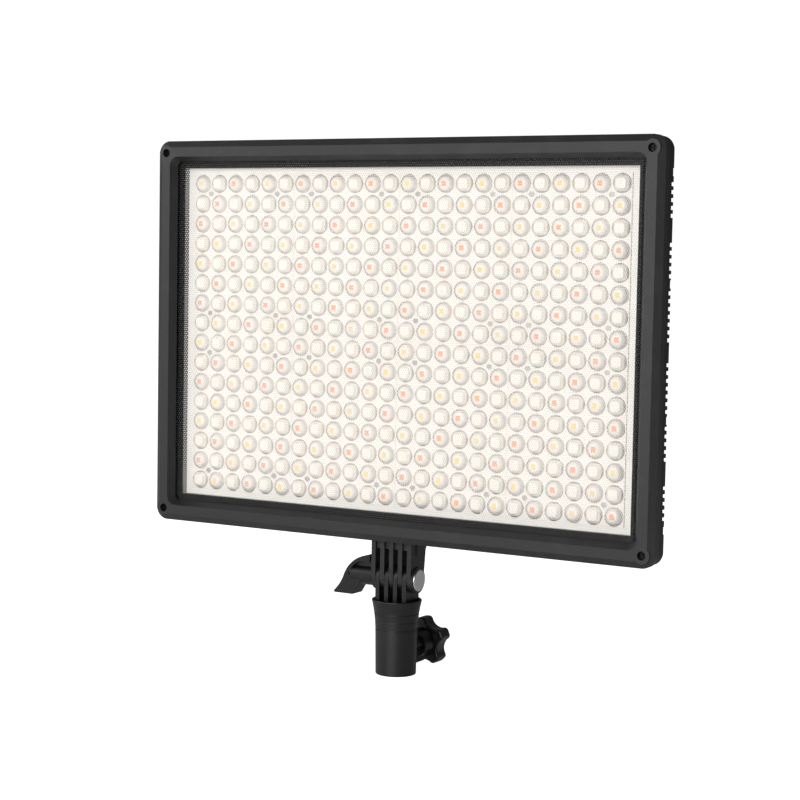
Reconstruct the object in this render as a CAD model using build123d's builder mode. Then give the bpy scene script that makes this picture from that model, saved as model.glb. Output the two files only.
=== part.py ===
"""LED panel light: a flat lensed panel with an edge-lit front plate, on a tilting stand receiver.

The frame is in millimetres. The origin is the centre of the receiver's socket mouth, +Z is up,
the light shines towards -Y, and +X is to the right of somebody facing the light.
"""

import os
from math import asin, cos, degrees, radians, sin

from build123d import *

os.makedirs("parts", exist_ok=True)

# ---------------------------------------------------------------- driving dimensions
led_pitch = 13.5
led_columns, led_rows = 24, 16
module_columns, module_rows = 6, 8
panel_width, panel_height, panel_corner = 373.0, 260.0, 8.6
head_z = 218.5
pivot_z = 63.2

# Depths of the panel's layers along Y; the front is the most negative.
face_y = -16.5
guide_y, guide_thickness = -11.4, 2.5
lens_y, lens_plate_thickness = -5.5, 1.2
parting_y = -8.0
rim_back_y = 0.0
back_y = 13.5
wall = 2.2

# Bezel section.
bezel_slope_width, bezel_slope_depth = 4.3, 2.9
window_width, window_height = 344.8, 232.0
window_bevel = 3.3
screw_x, screw_z = 178.75, 121.8

# Stand receiver and pivot.
socket_radius, socket_depth = 8.15, 38.0
barrel_radius, barrel_top_radius, collar_radius, collar_z = 13.35, 13.9, 16.6, 49.5
plate_thickness, plate_pitch, fin_thickness = 3.1, 6.7, 3.0
bolt_radius, bolt_clearance = 3.0, 0.05
knuckle_radius = 8.5
stud_z, stud_radius = 15.2, 4.0

guide_back_y = guide_y + guide_thickness
board_y = lens_y + lens_plate_thickness
board_thickness = 1.6
chassis_y = board_y + board_thickness
chassis_thickness = 1.5
module_width = led_pitch * module_columns
module_height = led_pitch * module_rows
modules_across = led_columns // module_columns
modules_up = led_rows // module_rows
board_width, board_height = 340.0, 227.4
guide_width, guide_height, guide_corner = 350.4, 237.2, 4.0
cover_width, cover_height = panel_width - 0.8, panel_height - 0.8
back_width, back_height, back_corner = 344.0, 231.0, 6.0
head_bottom_z = head_z - cover_height / 2


def facing_front(y, x=0.0, z=head_z):
    """A sketch plane at depth y that faces the front: its x is +X and its y is +Z."""
    return Plane(origin=(x, y, z), x_dir=(1, 0, 0), z_dir=(0, -1, 0))


def facing_back(y, x=0.0, z=head_z):
    """The same plane seen from behind the panel: its x is -X and its y is +Z."""
    return Plane(origin=(x, y, z), x_dir=(-1, 0, 0), z_dir=(0, 1, 0))


def facing_right(x, y=0.0, z=pivot_z):
    """A sketch plane across the pivot axis: its x is +Y and its y is +Z."""
    return Plane(origin=(x, y, z), x_dir=(0, 1, 0), z_dir=(1, 0, 0))


# ---------------------------------------------------------------- front bezel
strip_pocket_length, strip_pocket_height = 342.0, 242.0
screw_boss_radius = 5.2
core_width, core_height, core_depth = 368.0, 254.6, 3.4
with BuildPart() as front_bezel:
    with BuildSketch(facing_front(parting_y)):
        RectangleRounded(panel_width, panel_height, panel_corner)
    extrude(amount=parting_y - face_y)
    face = front_bezel.faces().sort_by(Axis.Y)[0]
    chamfer(face.edges(), length=bezel_slope_width, length2=bezel_slope_depth, reference=face)
    with BuildSketch(facing_front(parting_y)):
        with GridLocations(2 * screw_x, 2 * screw_z, 2, 2):
            Circle(screw_boss_radius)
    extrude(amount=parting_y - face_y)
    # The window flares towards the front.
    with BuildSketch(facing_front(guide_y)):
        RectangleRounded(window_width, window_height, 3.0)
    with BuildSketch(facing_front(face_y)):
        RectangleRounded(window_width + 2 * window_bevel, window_height + 2 * window_bevel, 6.3)
    loft(mode=Mode.SUBTRACT)
    # The seat of the light guide, with room above and below it for the two LED strips.
    with BuildSketch(facing_back(guide_y)):
        RectangleRounded(guide_width + 0.6, guide_height + 1.0, guide_corner)
        Rectangle(strip_pocket_length, strip_pocket_height)
    extrude(amount=parting_y - guide_y, mode=Mode.SUBTRACT)
    # The moulding is cored out from behind, except round the four screws.
    with BuildSketch(facing_front(parting_y)):
        RectangleRounded(core_width, core_height, panel_corner - 2.5)
        RectangleRounded(guide_width + 5.0, strip_pocket_height + 4.0, guide_corner, mode=Mode.SUBTRACT)
        with GridLocations(2 * screw_x, 2 * screw_z, 2, 2):
            Circle(screw_boss_radius + 1.0, mode=Mode.SUBTRACT)
    extrude(amount=core_depth, mode=Mode.SUBTRACT)
    with Locations(facing_front(face_y)):
        with GridLocations(2 * screw_x, 2 * screw_z, 2, 2):
            CounterBoreHole(radius=1.6, counter_bore_radius=2.8, counter_bore_depth=5.6)
front_bezel.part.label = "front_bezel"
export_step(front_bezel.part, "parts/front_bezel.step")

# ---------------------------------------------------------------- edge-lit front plate
with BuildPart() as light_guide_plate:
    with BuildSketch(facing_back(guide_y)):
        RectangleRounded(guide_width, guide_height, guide_corner)
    extrude(amount=guide_thickness)
light_guide_plate.part.label = "light_guide_plate"
export_step(light_guide_plate.part, "parts/light_guide_plate.step")

# A black frame presses the plate against the bezel and masks the edges of the LED board.
with BuildPart() as guide_frame:
    with BuildSketch(facing_back(guide_back_y)):
        RectangleRounded(guide_width, guide_height, guide_corner)
        Rectangle(board_width - 4.0, board_height - 4.0, mode=Mode.SUBTRACT)
    extrude(amount=board_y - guide_back_y)
guide_frame.part.label = "guide_frame"
export_step(guide_frame.part, "parts/guide_frame.step")

# An LED strip shines into the plate's top edge and another into its bottom edge.
strip_thickness, strip_length, strip_led_pitch = 0.8, 338.0, 9.6
strip_leds_each = 34
strip_led_height = 0.9
for strip_name, side in (("edge_strip_top", 1), ("edge_strip_bottom", -1)):
    with BuildPart() as edge_strip:
        with BuildSketch(facing_back(guide_y + 0.1)):
            with Locations((0, side * (strip_pocket_height - strip_thickness) / 2)):
                Rectangle(strip_length, strip_thickness)
        extrude(amount=guide_thickness - 0.2)
    edge_strip.part.label = strip_name
    export_step(edge_strip.part, f"parts/{strip_name}.step")

with BuildPart() as edge_leds:
    with BuildSketch(facing_back(guide_y + 0.4)):
        strip_face_z = strip_pocket_height / 2 - strip_thickness
        with GridLocations(strip_led_pitch, 2 * strip_face_z - strip_led_height, strip_leds_each, 2):
            Rectangle(3.0, strip_led_height)
    extrude(amount=1.6)
edge_leds.part.label = "edge_leds"
export_step(edge_leds.part, "parts/edge_leds.step")

# ---------------------------------------------------------------- lens plates
dome_radius, dome_height = 6.1, 3.0
dome_sphere = (dome_radius**2 + dome_height**2) / (2 * dome_height)
dome_latitude = degrees(asin(1 - dome_height / dome_sphere))
ring_radius, ring_height = 6.25, 0.5
frosted_size, frosted_corner = 9.6, 2.8
led_cavity_radius, led_cavity_depth = 2.4, 1.6
lens_screw_x, lens_screw_z = 2 * led_pitch, 3 * led_pitch
screw_clearance = 0.1
lens_screw_radius = 1.0
clear_cells, frosted_cells = [], []
for row in range(module_rows):
    for column in range(module_columns):
        cell = ((column - (module_columns - 1) / 2) * led_pitch, ((module_rows - 1) / 2 - row) * led_pitch)
        (clear_cells if (row + column) % 2 == 0 else frosted_cells).append(cell)

with BuildPart() as lens_module:
    with BuildSketch(facing_front(board_y, z=0.0)):
        Rectangle(module_width - 0.1, module_height - 0.1)
    extrude(amount=lens_plate_thickness)
    with BuildSketch(facing_front(lens_y, z=0.0)):
        with Locations(*clear_cells, *frosted_cells):
            Circle(ring_radius)
    extrude(amount=ring_height)
    with Locations(facing_front(lens_y, z=0.0)):
        with Locations(*clear_cells):
            Sphere(dome_sphere, arc_size1=dome_latitude, align=(Align.CENTER, Align.CENTER, Align.MIN))
    with BuildSketch(facing_front(lens_y, z=0.0)):
        with Locations(*frosted_cells):
            RectangleRounded(frosted_size, frosted_size, frosted_corner)
    extrude(amount=dome_height, taper=14)
    with BuildSketch(facing_front(board_y, z=0.0)):
        with Locations(*clear_cells, *frosted_cells):
            Circle(led_cavity_radius)
    extrude(amount=led_cavity_depth, mode=Mode.SUBTRACT)
    with BuildSketch(facing_front(board_y, z=0.0)):
        with GridLocations(2 * lens_screw_x, 2 * lens_screw_z, 2, 2):
            Circle(lens_screw_radius + screw_clearance)
    extrude(amount=lens_plate_thickness, mode=Mode.SUBTRACT)

module_centres = [
    ((across - (modules_across - 1) / 2) * module_width, head_z + ((modules_up - 1) / 2 - down) * module_height)
    for down in range(modules_up)
    for across in range(modules_across)
]
for number, (module_x, module_z) in enumerate(module_centres, start=1):
    lens_plate = lens_module.part.moved(Location((module_x, 0, module_z)))
    lens_plate.label = f"lens_plate_{number}"
    export_step(lens_plate, f"parts/lens_plate_{number}.step")

# ---------------------------------------------------------------- LED board and its LEDs
lens_screw_places = [
    (module_x + side_x * lens_screw_x, module_z - head_z + side_z * lens_screw_z)
    for module_x, module_z in module_centres
    for side_x in (-1, 1)
    for side_z in (-1, 1)
]
with BuildPart() as led_board:
    with BuildSketch(facing_back(board_y)):
        RectangleRounded(board_width, board_height, 2.0)
        with Locations(*lens_screw_places):
            Circle(lens_screw_radius + screw_clearance, mode=Mode.SUBTRACT)
    extrude(amount=board_thickness)
led_board.part.label = "led_board"
export_step(led_board.part, "parts/led_board.step")

lens_screw_head_radius, lens_screw_head_height = 1.75, 0.7
cross_length, cross_width, cross_depth = 2.1, 0.5, 0.45
with BuildPart() as lens_screws:
    with BuildSketch(facing_front(lens_y)):
        with Locations(*lens_screw_places):
            Circle(lens_screw_head_radius)
    extrude(amount=lens_screw_head_height)
    with BuildSketch(facing_front(chassis_y + 1.2)):
        with Locations(*lens_screw_places):
            Circle(lens_screw_radius)
    extrude(amount=chassis_y + 1.2 - lens_y)
    with BuildSketch(facing_front(lens_y - lens_screw_head_height)):
        with Locations(*lens_screw_places):
            Rectangle(cross_length, cross_width)
            Rectangle(cross_width, cross_length)
    extrude(amount=-cross_depth, mode=Mode.SUBTRACT)
lens_screws.part.label = "lens_screws"
export_step(lens_screws.part, "parts/lens_screws.step")

# Two whites alternate under the clear domes; the frosted domes share a third, diffused LED.
led_size, led_thickness = 2.8, 0.7
led_cells = {"cool_white_leds": [], "warm_white_leds": [], "diffused_leds": []}
for row in range(led_rows):
    for column in range(led_columns):
        place = ((column - (led_columns - 1) / 2) * led_pitch, ((led_rows - 1) / 2 - row) * led_pitch)
        if (row + column) % 2:
            led_cells["diffused_leds"].append(place)
        elif (column // 2 + row // 2 + row % 2) % 2:
            led_cells["warm_white_leds"].append(place)
        else:
            led_cells["cool_white_leds"].append(place)
for led_name, places in led_cells.items():
    with BuildPart() as leds:
        with BuildSketch(facing_front(board_y)):
            with Locations(*places):
                Rectangle(led_size, led_size)
        extrude(amount=led_thickness)
    leds.part.label = led_name
    export_step(leds.part, f"parts/{led_name}.step")

# ---------------------------------------------------------------- chassis plate and its fixings
standoff_places = [(x, z) for x in (-150.0, 0.0, 150.0) for z in (-98.0, 98.0)]
standoff_radius, rear_screw_radius = 3.0, 1.5
with BuildPart() as chassis_plate:
    with BuildSketch(facing_back(chassis_y)):
        RectangleRounded(guide_width, guide_height, guide_corner)
        with Locations(*standoff_places):
            Circle(1.6, mode=Mode.SUBTRACT)
        with Locations(*lens_screw_places):
            Circle(lens_screw_radius, mode=Mode.SUBTRACT)
    extrude(amount=chassis_thickness)
chassis_plate.part.label = "chassis_plate"
export_step(chassis_plate.part, "parts/chassis_plate.step")

inner_back_y = back_y - wall
with BuildPart() as chassis_standoffs:
    with BuildSketch(facing_back(chassis_y + chassis_thickness)):
        with Locations(*standoff_places):
            RegularPolygon(standoff_radius, 6)
            Circle(rear_screw_radius, mode=Mode.SUBTRACT)
    extrude(amount=inner_back_y - chassis_y - chassis_thickness)
chassis_standoffs.part.label = "chassis_standoffs"
export_step(chassis_standoffs.part, "parts/chassis_standoffs.step")

screw_head_radius, screw_head_height = 2.7, 1.3
with BuildPart() as rear_screws:
    with BuildSketch(facing_back(back_y - 1.2)):
        with Locations(*standoff_places):
            Circle(screw_head_radius)
    extrude(amount=screw_head_height)
    with BuildSketch(facing_front(back_y - 1.2)):
        with Locations(*standoff_places):
            Circle(rear_screw_radius)
    extrude(amount=7.0)
    with BuildSketch(facing_back(back_y - 1.2 + screw_head_height)):
        with Locations(*standoff_places):
            Rectangle(3.2, 0.7)
            Rectangle(0.7, 3.2)
    extrude(amount=-0.8, mode=Mode.SUBTRACT)
rear_screws.part.label = "rear_screws"
export_step(rear_screws.part, "parts/rear_screws.step")

with BuildPart() as bezel_screws:
    with BuildSketch(facing_back(face_y + 3.6)):
        with GridLocations(2 * screw_x, 2 * screw_z, 2, 2):
            Circle(2.6)
    extrude(amount=2.0)
    with BuildSketch(facing_back(face_y + 5.6)):
        with GridLocations(2 * screw_x, 2 * screw_z, 2, 2):
            Circle(1.45)
    extrude(amount=9.0)
    with BuildSketch(facing_back(face_y + 3.6)):
        with GridLocations(2 * screw_x, 2 * screw_z, 2, 2):
            Rectangle(3.0, 0.7)
            Rectangle(0.7, 3.0)
    extrude(amount=1.0, mode=Mode.SUBTRACT)
bezel_screws.part.label = "bezel_screws"
export_step(bezel_screws.part, "parts/bezel_screws.step")

# ---------------------------------------------------------------- rear cover
pad_width, pad_height = 56.0, 20.0
corner_boss_radius, corner_boss_length = 4.4, 9.5
slot_width, slot_pitch, slot_inner_x = 2.4, 4.7, 175.0
side_slot_groups = ((91.3, 5), (55.2, 5), (21.6, 7))
end_slot_groups = ((130.0, 7), (80.0, 7))
slot_inner_z = 118.5
rim_notches = (107.8, 41.0)
display_z, display_width, display_height = 70.0, 50.0, 28.0
dial_x = 48.0
button_z, button_spacing, button_width, button_height = 42.0, 24.0, 11.6, 5.6
rocker_x, dc_x, power_z = -22.0, 22.0, -74.0
battery_x, battery_z = 108.0, -6.0
latch_z, latch_width, latch_height = 27.0, 12.0, 8.0
board_boss_x, board_boss_z = 56.0, 22.0
control_board_z, control_board_y = 60.0, 4.0
control_board_thickness = 1.6
key_gap = 0.4
rocker_opening_width, rocker_opening_height = 11.6, 16.8
rocker_body_width, rocker_body_height = 14.6, 20.0
dc_radius = 5.4
bushing_radius = 4.5

with BuildPart() as rear_cover:
    with BuildSketch(facing_back(parting_y)):
        RectangleRounded(cover_width, cover_height, panel_corner)
    extrude(amount=rim_back_y - parting_y)
    with BuildSketch(facing_back(rim_back_y)):
        RectangleRounded(cover_width, cover_height, panel_corner)
    with BuildSketch(facing_back(back_y)):
        RectangleRounded(back_width, back_height, back_corner)
    loft()
    # The flat pad that the tilt bracket is bolted to.
    with BuildSketch(Plane.XY.offset(head_bottom_z)):
        with Locations((0, (parting_y + back_y) / 2)):
            Rectangle(pad_width, back_y - parting_y)
    extrude(amount=pad_height)
    # The hollow follows the outside, one wall inside it.
    with BuildSketch(facing_back(parting_y)):
        RectangleRounded(cover_width - 2 * wall, cover_height - 2 * wall, panel_corner - wall)
    extrude(amount=rim_back_y - parting_y, mode=Mode.SUBTRACT)
    with BuildSketch(facing_back(rim_back_y)):
        RectangleRounded(cover_width - 2 * wall, cover_height - 2 * wall, panel_corner - wall)
    with BuildSketch(facing_back(inner_back_y)):
        RectangleRounded(back_width - 2 * wall, back_height - 2 * wall, back_corner - wall)
    loft(mode=Mode.SUBTRACT)
    with BuildSketch(facing_back(parting_y)):
        with GridLocations(2 * screw_x, 2 * screw_z, 2, 2):
            Circle(corner_boss_radius)
    extrude(amount=corner_boss_length)
    with BuildSketch(facing_back(parting_y)):
        with GridLocations(2 * screw_x, 2 * screw_z, 2, 2):
            Circle(1.5)
    extrude(amount=corner_boss_length - 2.0, mode=Mode.SUBTRACT)
    with BuildSketch(facing_front(inner_back_y, z=head_z + control_board_z)):
        with GridLocations(2 * board_boss_x, 2 * board_boss_z, 2, 2):
            Circle(2.5)
    extrude(amount=inner_back_y - control_board_y - control_board_thickness)
    # Ventilation slots run over the sloping edges and notch the rim.
    with BuildSketch(facing_back(back_y + 1.0)):
        for group_z, count in side_slot_groups:
            for side_x in (-1, 1):
                for side_z in (-1, 1):
                    with Locations((side_x * (slot_inner_x + 10.0), side_z * group_z)):
                        with GridLocations(0, slot_pitch, 1, count):
                            Rectangle(20.0, slot_width)
        for group_x, count in end_slot_groups:
            for side_x in (-1, 1):
                for side_z in (-1, 1):
                    with Locations((side_x * group_x, side_z * (slot_inner_z + 10.0))):
                        with GridLocations(slot_pitch, 0, count, 1):
                            Rectangle(slot_width, 20.0)
    extrude(amount=-(back_y + 1.0 + 3.0), mode=Mode.SUBTRACT)
    with BuildSketch(facing_back(rim_back_y + 2.5)):
        with Locations(*[(sx * (cover_width / 2), sz * z) for z in rim_notches for sx in (-1, 1) for sz in (-1, 1)]):
            Rectangle(3.0, 4.8)
    extrude(amount=-3.7, mode=Mode.SUBTRACT)
    # Openings for what is worked from the back.
    with BuildSketch(facing_back(inner_back_y)):
        with Locations((0, display_z)):
            RectangleRounded(display_width, display_height, 1.5)
        with Locations((-dial_x, display_z), (dial_x, display_z)):
            Circle(bushing_radius + 0.1)
        with Locations((0, button_z)):
            with GridLocations(button_spacing, 0, 3, 1):
                RectangleRounded(button_width + key_gap, button_height + key_gap, 1.4)
        with Locations((rocker_x, power_z)):
            Rectangle(rocker_body_width, rocker_body_height)
        with Locations((dc_x, power_z)):
            Circle(dc_radius)
        for side_x in (-1, 1):
            with Locations((side_x * battery_x, battery_z + latch_z)):
                Rectangle(latch_width + 4.0, latch_height + 4.0)
    extrude(amount=wall, mode=Mode.SUBTRACT)
    with Locations(facing_back(back_y)):
        with Locations(*standoff_places):
            CounterBoreHole(radius=1.6, counter_bore_radius=2.9, counter_bore_depth=1.2, depth=wall)
rear_cover.part.label = "rear_cover"
export_step(rear_cover.part, "parts/rear_cover.step")

# ---------------------------------------------------------------- boards behind the chassis
with BuildPart() as control_board:
    with BuildSketch(facing_back(control_board_y, z=head_z + control_board_z)):
        RectangleRounded(2 * board_boss_x + 8.0, 2 * board_boss_z + 8.0, 2.0)
        with GridLocations(2 * board_boss_x, 2 * board_boss_z, 2, 2):
            Circle(1.3, mode=Mode.SUBTRACT)
    extrude(amount=control_board_thickness)
control_board.part.label = "control_board"
export_step(control_board.part, "parts/control_board.step")

driver_y, driver_z, driver_width, driver_height = 1.4, -30.0, 120.0, 60.0
with BuildPart() as driver_board:
    with BuildSketch(facing_back(driver_y, z=head_z + driver_z)):
        RectangleRounded(driver_width, driver_height, 2.0)
    extrude(amount=1.6)
driver_board.part.label = "driver_board"
export_step(driver_board.part, "parts/driver_board.step")

with BuildPart() as driver_components:
    with BuildSketch(facing_back(driver_y + 1.6, z=head_z + driver_z)):
        with GridLocations(26.0, 30.0, 4, 2):
            Circle(5.0)
        with GridLocations(26.0, 24.0, 3, 1):
            Rectangle(9.0, 9.0)
    extrude(amount=6.0)
driver_components.part.label = "driver_components"
export_step(driver_components.part, "parts/driver_components.step")

# Spacers hold the driver board off the chassis plate.
with BuildPart() as driver_spacers:
    with BuildSketch(facing_back(chassis_y + chassis_thickness, z=head_z + driver_z)):
        with GridLocations(driver_width - 8.0, driver_height - 8.0, 2, 2):
            Circle(2.5)
    extrude(amount=driver_y - chassis_y - chassis_thickness)
driver_spacers.part.label = "driver_spacers"
export_step(driver_spacers.part, "parts/driver_spacers.step")

# ---------------------------------------------------------------- display
with BuildPart() as display_panel:
    with BuildSketch(facing_back(inner_back_y - 2.4, z=head_z + display_z)):
        Rectangle(display_width + 5.0, display_height + 5.0)
    extrude(amount=2.4)
display_panel.part.label = "display_panel"
export_step(display_panel.part, "parts/display_panel.step")

with BuildPart() as display_window:
    with BuildSketch(facing_back(inner_back_y, z=head_z + display_z)):
        RectangleRounded(display_width, display_height, 1.5)
    extrude(amount=wall - 0.3)
display_window.part.label = "display_window"
export_step(display_window.part, "parts/display_window.step")

# ---------------------------------------------------------------- dials on their encoders
shaft_radius, shaft_clearance = 3.0, 0.05
dial_radius, dial_height, dial_gap, dial_grooves = 8.0, 9.0, 0.8, 30
board_top_y = control_board_y + control_board_thickness
shaft_end_y = back_y + dial_gap + dial_height - 1.5
with BuildPart() as dial_encoders:
    with BuildSketch(facing_back(board_top_y, z=head_z + display_z)):
        with GridLocations(2 * dial_x, 0, 2, 1):
            Rectangle(12.0, 12.0)
    extrude(amount=5.2)
    with BuildSketch(facing_back(board_top_y + 5.2, z=head_z + display_z)):
        with GridLocations(2 * dial_x, 0, 2, 1):
            Circle(bushing_radius)
    extrude(amount=back_y - board_top_y - 5.2)
    with BuildSketch(facing_back(board_top_y + 1.0, z=head_z + display_z)):
        with GridLocations(2 * dial_x, 0, 2, 1):
            Circle(shaft_radius + shaft_clearance)
    extrude(amount=back_y - board_top_y, mode=Mode.SUBTRACT)
dial_encoders.part.label = "dial_encoders"
export_step(dial_encoders.part, "parts/dial_encoders.step")

for dial_name, side in (("brightness", 1), ("colour", -1)):
    with BuildPart() as dial_shaft:
        with BuildSketch(facing_back(board_top_y + 1.3, side * dial_x, head_z + display_z)):
            Circle(shaft_radius)
        extrude(amount=shaft_end_y - board_top_y - 1.3)
    dial_shaft.part.label = f"{dial_name}_dial_shaft"
    export_step(dial_shaft.part, f"parts/{dial_name}_dial_shaft.step")

    with BuildPart() as dial:
        with BuildSketch(facing_back(back_y + dial_gap, side * dial_x, head_z + display_z)):
            Circle(dial_radius)
            with PolarLocations(dial_radius + 0.25, dial_grooves):
                Circle(0.6, mode=Mode.SUBTRACT)
        extrude(amount=dial_height - 1.4)
        with BuildSketch(facing_back(back_y + dial_gap + dial_height - 1.4, side * dial_x, head_z + display_z)):
            Circle(dial_radius - 0.6)
        extrude(amount=1.4)
        chamfer(dial.faces().sort_by(Axis.Y)[-1].edges(), 0.6)
        with BuildSketch(facing_back(back_y + dial_gap, side * dial_x, head_z + display_z)):
            Circle(shaft_radius)
        extrude(amount=shaft_end_y - back_y - dial_gap, mode=Mode.SUBTRACT)
    dial.part.label = f"{dial_name}_dial"
    export_step(dial.part, f"parts/{dial_name}_dial.step")

# ---------------------------------------------------------------- push buttons
button_travel, flange_thickness, button_proud = 0.6, 1.0, 1.3
flange_y = inner_back_y - 0.3 - flange_thickness
switch_height = flange_y - button_travel - 0.2 - board_top_y
with BuildPart() as tact_switches:
    with BuildSketch(facing_back(board_top_y, z=head_z + button_z)):
        with GridLocations(button_spacing, 0, 3, 1):
            Rectangle(6.0, 6.0)
    extrude(amount=switch_height)
tact_switches.part.label = "tact_switches"
export_step(tact_switches.part, "parts/tact_switches.step")

for button_name, place in (("mode_button", -1), ("menu_button", 0), ("preset_button", 1)):
    with BuildPart() as button:
        with BuildSketch(facing_back(flange_y, -place * button_spacing, head_z + button_z)):
            Rectangle(button_width + 2.0, button_height + 2.0)
        extrude(amount=flange_thickness)
        with BuildSketch(facing_back(flange_y + flange_thickness, -place * button_spacing, head_z + button_z)):
            RectangleRounded(button_width, button_height, 1.2)
        extrude(amount=back_y + button_proud - flange_y - flange_thickness)
        fillet(button.faces().sort_by(Axis.Y)[-1].edges(), 0.5)
    button.part.label = button_name
    export_step(button.part, f"parts/{button_name}.step")

# ---------------------------------------------------------------- power rocker and DC socket
rocker_tilt = 8.0
rocker_pivot_y, rocker_length, rocker_width = back_y + 0.2, 15.6, 11.0
pin_radius, pin_clearance = 1.0, 0.05
rocker_world_x = -rocker_x
with BuildPart() as rocker_housing:
    with BuildSketch(facing_back(3.0, rocker_world_x, head_z + power_z)):
        Rectangle(rocker_body_width, rocker_body_height)
    extrude(amount=back_y - 3.0)
    with BuildSketch(facing_back(back_y, rocker_world_x, head_z + power_z)):
        RectangleRounded(rocker_body_width + 3.0, rocker_body_height + 3.0, 1.5)
    extrude(amount=1.6)
    with BuildSketch(facing_back(back_y - 5.5, rocker_world_x, head_z + power_z)):
        Rectangle(rocker_opening_width, rocker_opening_height)
    extrude(amount=8.0, mode=Mode.SUBTRACT)
    with BuildSketch(facing_right(rocker_world_x - 6.6, rocker_pivot_y, head_z + power_z)):
        Circle(pin_radius + pin_clearance)
    extrude(amount=13.2, mode=Mode.SUBTRACT)
rocker_housing.part.label = "rocker_housing"
export_step(rocker_housing.part, "parts/rocker_housing.step")

rocker_plane = Plane(
    origin=(rocker_world_x - rocker_width / 2, rocker_pivot_y, head_z + power_z),
    x_dir=(0, cos(radians(rocker_tilt)), sin(radians(rocker_tilt))),
    z_dir=(1, 0, 0),
)
with BuildPart() as power_rocker:
    with BuildSketch(rocker_plane):
        with BuildLine():
            half = rocker_length / 2
            Polyline((-1.0, -half), (3.0, -half), (2.2, 0), (3.0, half), (-1.0, half), (-3.2, 0), close=True)
        make_face()
    extrude(amount=rocker_width)
    with BuildSketch(facing_right(rocker_world_x - 6.5, rocker_pivot_y, head_z + power_z)):
        Circle(pin_radius)
    extrude(amount=13.0)
power_rocker.part.label = "power_rocker"
export_step(power_rocker.part, "parts/power_rocker.step")

dc_front_y, dc_hole_radius, dc_hole_depth, dc_pin_radius = 2.5, 2.85, 9.5, 1.0
dc_mouth_y = back_y + 0.6
with BuildPart() as dc_socket:
    with BuildSketch(facing_back(dc_front_y, -dc_x, head_z + power_z)):
        Circle(dc_radius)
    extrude(amount=dc_mouth_y - dc_front_y)
    with BuildSketch(facing_back(dc_mouth_y - dc_hole_depth, -dc_x, head_z + power_z)):
        Circle(dc_hole_radius)
    extrude(amount=dc_hole_depth, mode=Mode.SUBTRACT)
dc_socket.part.label = "dc_socket"
export_step(dc_socket.part, "parts/dc_socket.step")

with BuildPart() as dc_socket_pin:
    with BuildSketch(facing_back(dc_mouth_y - dc_hole_depth, -dc_x, head_z + power_z)):
        Circle(dc_pin_radius)
    extrude(amount=dc_hole_depth - 1.0)
    fillet(dc_socket_pin.faces().sort_by(Axis.Y)[-1].edges(), 0.4)
dc_socket_pin.part.label = "dc_socket_pin"
export_step(dc_socket_pin.part, "parts/dc_socket_pin.step")

# ---------------------------------------------------------------- battery plates
plate_width, plate_height, plate_base = 46.0, 80.0, 2.4
rail_width, rail_height, lip_width, lip_height, lip_length = 2.4, 6.0, 1.8, 1.6, 9.0
latch_proud, latch_flange_y, latch_flange_height, latch_flange_margin = 2.6, 12.6, 0.7, 2.0
rail_end_margin, lip_pitch = 14.0, 26.0
contact_z, contact_block_width, contact_block_height, contact_block_depth = -33.0, 30.0, 8.0, 4.0
blade_width, blade_depth, blade_gap, blade_length = 0.8, 2.4, 6.5, 5.0
plate_top_y = back_y + plate_base
for side_name, side in (("left", -1), ("right", 1)):
    plate_x, plate_z = side * battery_x, head_z + battery_z
    with BuildPart() as battery_plate:
        with BuildSketch(facing_back(back_y, plate_x, plate_z)):
            RectangleRounded(plate_width, plate_height, 3.0)
        extrude(amount=plate_base)
        with BuildSketch(facing_back(plate_top_y, plate_x, plate_z)):
            with GridLocations(plate_width - rail_width, 0, 2, 1):
                Rectangle(rail_width, plate_height - rail_end_margin)
        extrude(amount=rail_height)
        # Short lips on the rails hook over the battery's edges.
        with BuildSketch(facing_back(plate_top_y + rail_height - lip_height, plate_x, plate_z)):
            with GridLocations(plate_width - 2 * rail_width - lip_width, lip_pitch, 2, 3):
                Rectangle(lip_width, lip_length)
        extrude(amount=lip_height)
        with BuildSketch(facing_back(plate_top_y, plate_x, plate_z)):
            with Locations((0, contact_z)):
                Rectangle(contact_block_width, contact_block_height)
        extrude(amount=contact_block_depth)
        with BuildSketch(facing_back(back_y, plate_x, plate_z)):
            with Locations((0, latch_z)):
                RectangleRounded(latch_width + key_gap, latch_height + key_gap, 1.2)
        extrude(amount=plate_base, mode=Mode.SUBTRACT)
    battery_plate.part.label = f"battery_plate_{side_name}"
    export_step(battery_plate.part, f"parts/battery_plate_{side_name}.step")

    with BuildPart() as battery_contacts:
        blade_z = plate_z + contact_z + contact_block_height / 2
        with BuildSketch(Plane.XY.offset(blade_z)):
            with Locations((plate_x, plate_top_y + contact_block_depth / 2)):
                with GridLocations(blade_gap, 0, 3, 1):
                    Rectangle(blade_width, blade_depth)
        extrude(amount=blade_length)
    battery_contacts.part.label = f"battery_contacts_{side_name}"
    export_step(battery_contacts.part, f"parts/battery_contacts_{side_name}.step")

    with BuildPart() as battery_latch:
        with BuildSketch(facing_back(latch_flange_y, plate_x, plate_z + latch_z)):
            Rectangle(latch_width + latch_flange_margin, latch_height + latch_flange_margin)
        extrude(amount=latch_flange_height)
        with BuildSketch(facing_back(latch_flange_y + latch_flange_height, plate_x, plate_z + latch_z)):
            RectangleRounded(latch_width, latch_height, 1.0)
        extrude(amount=plate_top_y + latch_proud - latch_flange_y - latch_flange_height)
        fillet(battery_latch.faces().sort_by(Axis.Y)[-1].edges(), 0.6)
    battery_latch.part.label = f"battery_latch_{side_name}"
    export_step(battery_latch.part, f"parts/battery_latch_{side_name}.step")

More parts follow.
